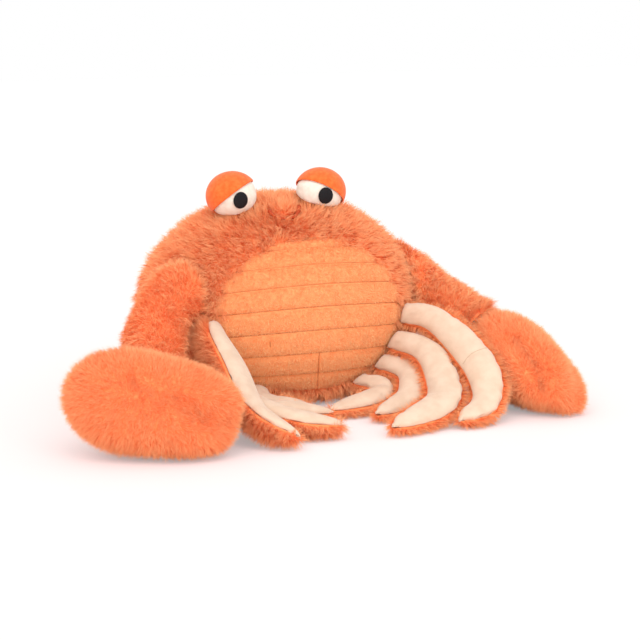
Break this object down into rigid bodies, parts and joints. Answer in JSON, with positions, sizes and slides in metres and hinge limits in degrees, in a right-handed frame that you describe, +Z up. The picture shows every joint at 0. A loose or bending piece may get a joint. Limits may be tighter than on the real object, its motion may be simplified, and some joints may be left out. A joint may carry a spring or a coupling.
{
  "type": "plush crab",
  "caption": "Stuffed toy crab that sits upright, with a ribbed belly, goggle eyes, closed claws and curved legs laid out in front.",
  "frame": {"origin": "middle of the flat seat, on the ground under the middle of the body", "axes": "+X the crab's width, towards the claw on the viewer's right; -Y the crab's front; +Z up"},
  "size_m": [0.3393, 0.2417, 0.149],
  "materials": {
    "fur": "long-haired fur",
    "limb_fur": "soft short-haired fur",
    "belly_plush": "short ribbed plush",
    "cream_suede": "soft suede cloth",
    "eye_white": "short woven pile",
    "lid_felt": "matt felt",
    "pupil_thread": "embroidered thread",
    "fibre": "loose fibre",
    "pouch_cloth": "woven cloth"
  },
  "bodies": {
    "root": {"body_cover": "fur", "belly_panel": "belly_plush", "body_filling": "fibre", "bean_pouch": "pouch_cloth", "eye_white_left": "eye_white", "eye_lid_left": "lid_felt", "pupil_left": "pupil_thread", "arm_cover_left": "limb_fur", "arm_filling_left": "fibre", "claw_cover_left": "limb_fur", "claw_filling_left": "fibre", "eye_white_right": "eye_white", "eye_lid_right": "lid_felt", "pupil_right": "pupil_thread", "arm_cover_right": "limb_fur", "arm_filling_right": "fibre", "claw_cover_right": "limb_fur", "claw_filling_right": "fibre", "leg_back_left_1": "limb_fur", "leg_lining_left_1": "cream_suede", "leg_filling_left_1": "fibre", "leg_back_left_2": "limb_fur", "leg_lining_left_2": "cream_suede", "leg_filling_left_2": "fibre", "leg_back_left_3": "limb_fur", "leg_lining_left_3": "cream_suede", "leg_filling_left_3": "fibre", "leg_back_left_4": "limb_fur", "leg_lining_left_4": "cream_suede", "leg_filling_left_4": "fibre", "leg_back_right_1": "limb_fur", "leg_lining_right_1": "cream_suede", "leg_filling_right_1": "fibre", "leg_back_right_2": "limb_fur", "leg_lining_right_2": "cream_suede", "leg_filling_right_2": "fibre", "leg_back_right_3": "limb_fur", "leg_lining_right_3": "cream_suede", "leg_filling_right_3": "fibre", "leg_back_right_4": "limb_fur", "leg_lining_right_4": "cream_suede", "leg_filling_right_4": "fibre"}
  },
  "joints": []
}
